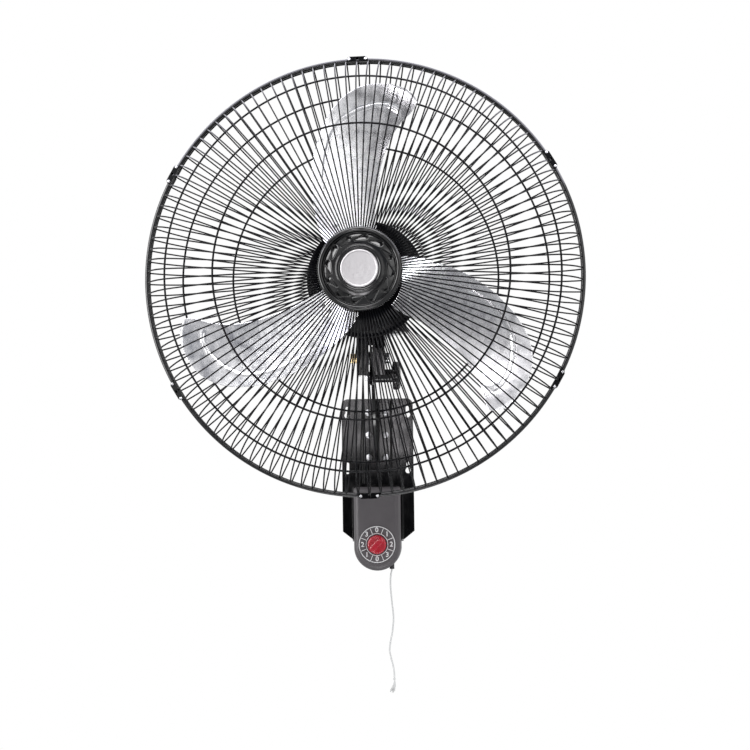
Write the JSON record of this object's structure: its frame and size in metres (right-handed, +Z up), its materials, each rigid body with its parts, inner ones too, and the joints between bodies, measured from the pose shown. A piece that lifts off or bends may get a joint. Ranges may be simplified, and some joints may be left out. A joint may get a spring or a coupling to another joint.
{
  "type": "wall mounted fan",
  "caption": "Wall mounted oscillating fan with a wire guard, aluminium blades, a tilting neck, a wall plate and a control box with a pull cord.",
  "frame": {"origin": "centre of the wall plate's back face, on the wall", "axes": "+Z up, +Y into the wall; the fan looks along -Y and +X is at its right, seen from the front"},
  "size_m": [0.5004, 0.291, 0.7483],
  "materials": {
    "black_enamel": "gloss black paint on pressed steel",
    "wire_enamel": "gloss black coated wire",
    "box_plastic": "fine textured dark grey moulding",
    "black_plastic": "black moulding",
    "blade_aluminium": "rolled aluminium sheet",
    "badge_silver": "bright silver disc, bare",
    "zinc": "zinc plated steel",
    "laminated_steel": "stacked steel sheets with windings",
    "nut_brass": "yellow passivated nut",
    "knob_red": "dark red moulding",
    "white_cotton": "white cotton cord",
    "white_plastic": "white moulding",
    "seal_rubber": "black rubber"
  },
  "bodies": {
    "wall_side": {"wall_plate": "black_enamel", "arm_bracket": "black_enamel", "bracket_screw_1": "zinc", "bracket_screw_2": "zinc", "bracket_screw_3": "zinc", "bracket_screw_4": "zinc", "bracket_screw_5": "zinc", "bracket_screw_6": "zinc", "control_box_base": "black_enamel", "control_box_cover": "box_plastic", "dial_plate": "black_plastic", "speed_switch": "black_plastic", "capacitor": "black_plastic", "terminal_block": "white_plastic", "cable_inlet": "seal_rubber", "pull_switch": "black_plastic", "cord_bush": "black_plastic"},
    "speed_control": {"speed_knob": "knob_red", "switch_shaft": "zinc"},
    "pull": {"pull_cord": "white_cotton", "pull_cord_end": "white_cotton"},
    "neck": {"neck_yoke": "black_enamel", "tilt_bolt": "zinc", "tilt_nut": "nut_brass", "tilt_bush_left": "zinc", "tilt_bush_right": "zinc", "clamp_nut": "zinc"},
    "clamp": {"tilt_knob": "black_plastic", "clamp_screw": "zinc"},
    "head": {"motor_bracket": "black_enamel", "oscillation_motor": "black_plastic", "motor_front_cover": "black_enamel", "motor_rear_cover": "black_enamel", "stator": "laminated_steel", "bearing_front": "zinc", "bearing_rear": "zinc", "grille_spider": "black_enamel", "rear_grille": "wire_enamel", "rear_ring_inner": "wire_enamel", "rear_ring_outer": "wire_enamel", "front_grille": "wire_enamel", "front_ring_inner": "wire_enamel", "front_ring_outer": "wire_enamel", "rim_clip_1": "black_enamel", "rim_clip_2": "black_enamel", "rim_clip_3": "black_enamel", "rim_clip_4": "black_enamel", "rim_clip_5": "black_enamel", "rim_clip_6": "black_enamel", "hub_cap": "black_plastic", "hub_badge": "badge_silver"},
    "crank": {"crank_disc": "zinc"},
    "link": {"crank_link": "zinc"},
    "fan": {"motor_shaft": "zinc", "rotor": "laminated_steel", "blade_hub": "black_enamel", "blade_1": "blade_aluminium", "blade_2": "blade_aluminium", "blade_3": "blade_aluminium", "spinner_nut": "black_plastic"}
  },
  "joints": [
    {"name": "head_tilt", "type": "hinge", "parent": "wall_side", "child": "neck", "pos_m": [0, -0.1, 0.1346], "axis": [1, 0, 0], "range_deg": [-10, 25]},
    {"name": "head_oscillation", "type": "hinge", "parent": "neck", "child": "head", "pos_m": [0, -0.1, 0.165], "axis": [0, 0, 1], "range_deg": [-40, 40]},
    {"name": "fan_spin", "type": "hinge", "parent": "head", "child": "fan", "pos_m": [0, -0.2, 0.219], "axis": [0, 1, 0], "continuous": true},
    {"name": "crank_turn", "type": "hinge", "parent": "head", "child": "crank", "pos_m": [0.022, -0.075, 0.165], "axis": [0, 0, 1], "range_deg": [-60, 60]},
    {"name": "link_swing", "type": "hinge", "parent": "neck", "child": "link", "pos_m": [-0.0075, -0.08701, 0.163], "axis": [0, 0, 1], "range_deg": [-41, 41]},
    {"name": "clamp_turn", "type": "hinge", "parent": "neck", "child": "clamp", "pos_m": [0.03, -0.1, 0.113], "axis": [1, 0, 0], "range_deg": [0, 360]},
    {"name": "speed_turn", "type": "hinge", "parent": "wall_side", "child": "speed_control", "pos_m": [0, -0.04, -0.093], "axis": [0, 1, 0], "continuous": true},
    {"name": "cord_pull", "type": "slide", "parent": "wall_side", "child": "pull", "axis": [0, 0, -1], "range_m": [0, 0.008], "stiffness_N_per_m": 900, "springref_m": -0.002}
  ],
  "couplings": [
    {"joint": "crank_turn", "follows": "head_oscillation", "ratio": -1.5},
    {"joint": "link_swing", "follows": "head_oscillation", "ratio": 1.02}
  ]
}
